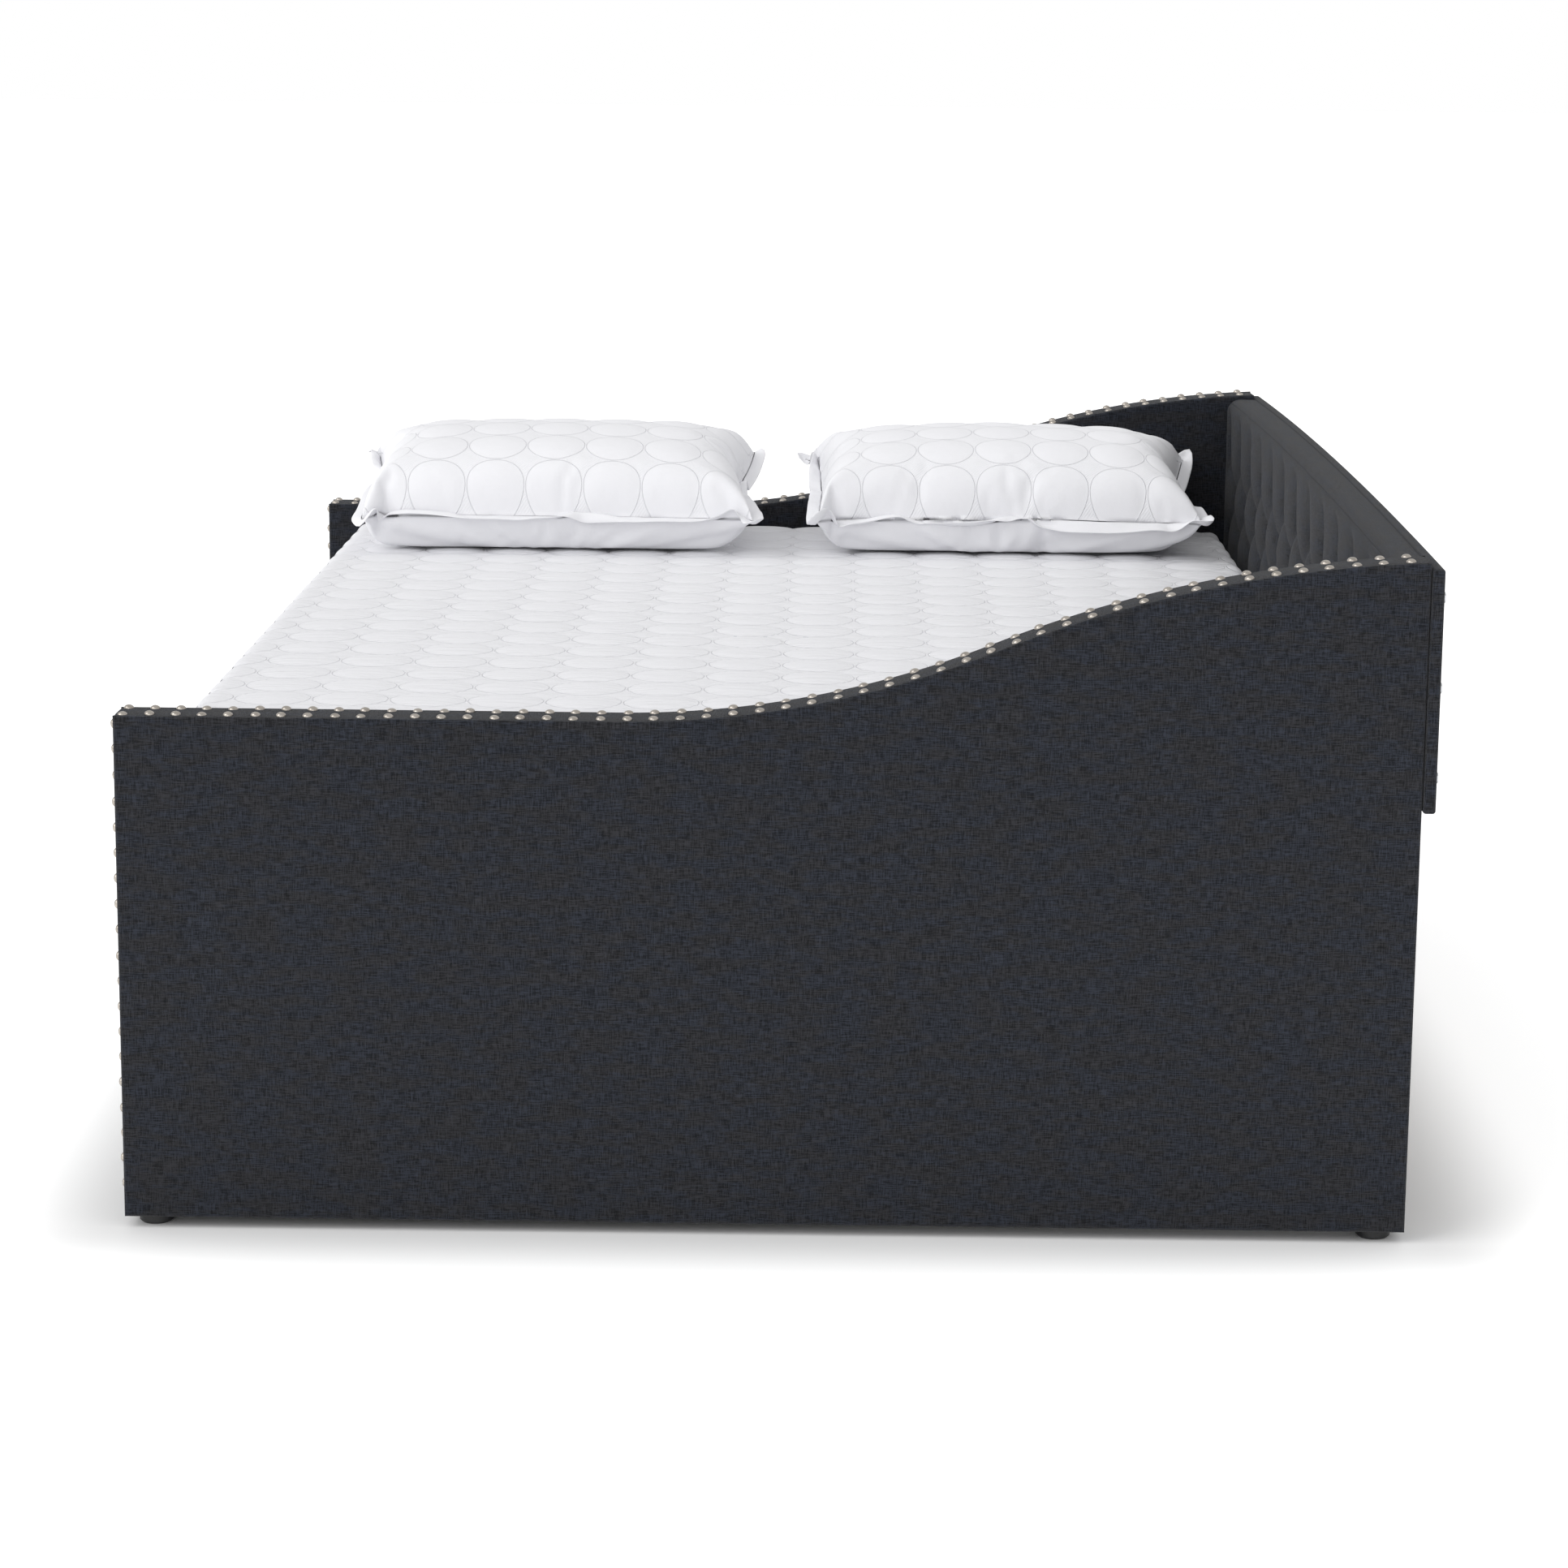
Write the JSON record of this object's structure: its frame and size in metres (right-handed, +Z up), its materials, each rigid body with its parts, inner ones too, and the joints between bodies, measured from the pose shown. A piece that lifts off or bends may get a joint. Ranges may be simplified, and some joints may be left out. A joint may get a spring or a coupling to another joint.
{
  "type": "upholstered trundle daybed",
  "caption": "Upholstered daybed with curved nail-trimmed arms, a tufted back, quilted mattress and pillows, and a roll-out trundle underneath.",
  "frame": {"origin": "on the floor under the middle of the bed's box", "axes": "+X along the bed's length, the back is at +Y and the trundle pulls out to -Y, +Z up"},
  "size_m": [2.19, 1.6676, 0.8825],
  "materials": {
    "upholstery": "charcoal linen-look weave over foam",
    "nailheads": "satin pewter",
    "black_plastic": "moulded",
    "timber": "planed pine",
    "plywood": "sanded plywood",
    "black_steel": "black powder coat",
    "zinc_steel": "zinc plated",
    "caster_wheel": "moulded nylon",
    "webbing": "woven strap",
    "mattress_ticking": "knitted ticking",
    "quilted_cover": "quilted white cotton",
    "pillow_cloth": "white cotton, quilted top"
  },
  "bodies": {
    "bed": {"back_battens": "timber", "back_board": "plywood", "back_bolts": "zinc_steel", "back_buttons": "upholstery", "back_cover": "upholstery", "back_tufted_pad": "upholstery", "beam_hangers": "black_steel", "bed_slats": "timber", "front_rail": "timber", "front_rail_cover": "upholstery", "left_arm_edge_band": "upholstery", "left_arm_feet": "black_plastic", "left_arm_frame": "timber", "left_arm_inner_board": "plywood", "left_arm_inner_pad": "upholstery", "left_arm_nailheads": "nailheads", "left_arm_outer_board": "plywood", "left_arm_outer_pad": "upholstery", "leg_caps": "black_plastic", "rail_bolts": "zinc_steel", "rail_brackets": "black_steel", "rear_rail": "timber", "rear_rail_cover": "upholstery", "right_arm_edge_band": "upholstery", "right_arm_feet": "black_plastic", "right_arm_frame": "timber", "right_arm_inner_board": "plywood", "right_arm_inner_pad": "upholstery", "right_arm_nailheads": "nailheads", "right_arm_outer_board": "plywood", "right_arm_outer_pad": "upholstery", "slat_ledgers": "timber", "slat_webbing": "webbing", "support_beam": "black_steel", "support_legs": "black_steel"},
    "mattress": {"mattress": "mattress_ticking", "mattress_cover": "quilted_cover"},
    "pillow_front": {"pillow_front": "pillow_cloth"},
    "pillow_back": {"pillow_back": "pillow_cloth"},
    "trundle": {"caster_axles": "zinc_steel", "caster_forks": "zinc_steel", "trundle_bearers": "timber", "trundle_bolts": "zinc_steel", "trundle_centre_rail": "timber", "trundle_front_board": "plywood", "trundle_front_cover": "upholstery", "trundle_ledgers": "timber", "trundle_left_board": "plywood", "trundle_left_cover": "upholstery", "trundle_rear_board": "plywood", "trundle_rear_cover": "upholstery", "trundle_right_board": "plywood", "trundle_right_cover": "upholstery", "trundle_slats": "timber", "trundle_webbing": "webbing"},
    "caster_wheel_front_left": {"caster_wheel_front_left": "caster_wheel"},
    "caster_wheel_front_right": {"caster_wheel_front_right": "caster_wheel"},
    "caster_wheel_rear_left": {"caster_wheel_rear_left": "caster_wheel"},
    "caster_wheel_rear_right": {"caster_wheel_rear_right": "caster_wheel"}
  },
  "joints": [
    {"name": "trundle_slide", "type": "slide", "parent": "bed", "child": "trundle", "axis": [0, -1, 0], "range_m": [0, 1.05]},
    {"name": "mattress_lift", "type": "slide", "parent": "bed", "child": "mattress", "axis": [0, 0, 1], "range_m": [0, 0.5]},
    {"name": "pillow_front_lift", "type": "slide", "parent": "mattress", "child": "pillow_front", "axis": [0, 0, 1], "range_m": [0, 0.3]},
    {"name": "pillow_back_lift", "type": "slide", "parent": "mattress", "child": "pillow_back", "axis": [0, 0, 1], "range_m": [0, 0.3]},
    {"name": "caster_wheel_front_left_spin", "type": "hinge", "parent": "trundle", "child": "caster_wheel_front_left", "pos_m": [-0.898, -0.73425, 0.025], "axis": [1, 0, 0], "continuous": true},
    {"name": "caster_wheel_front_right_spin", "type": "hinge", "parent": "trundle", "child": "caster_wheel_front_right", "pos_m": [0.898, -0.73425, 0.025], "axis": [1, 0, 0], "continuous": true},
    {"name": "caster_wheel_rear_left_spin", "type": "hinge", "parent": "trundle", "child": "caster_wheel_rear_left", "pos_m": [-0.898, 0.15575, 0.025], "axis": [1, 0, 0], "continuous": true},
    {"name": "caster_wheel_rear_right_spin", "type": "hinge", "parent": "trundle", "child": "caster_wheel_rear_right", "pos_m": [0.898, 0.15575, 0.025], "axis": [1, 0, 0], "continuous": true}
  ],
  "couplings": [
    {"joint": "caster_wheel_front_left_spin", "follows": "trundle_slide", "rad_per_m": 40},
    {"joint": "caster_wheel_front_right_spin", "follows": "trundle_slide", "rad_per_m": 40},
    {"joint": "caster_wheel_rear_left_spin", "follows": "trundle_slide", "rad_per_m": 40},
    {"joint": "caster_wheel_rear_right_spin", "follows": "trundle_slide", "rad_per_m": 40}
  ]
}
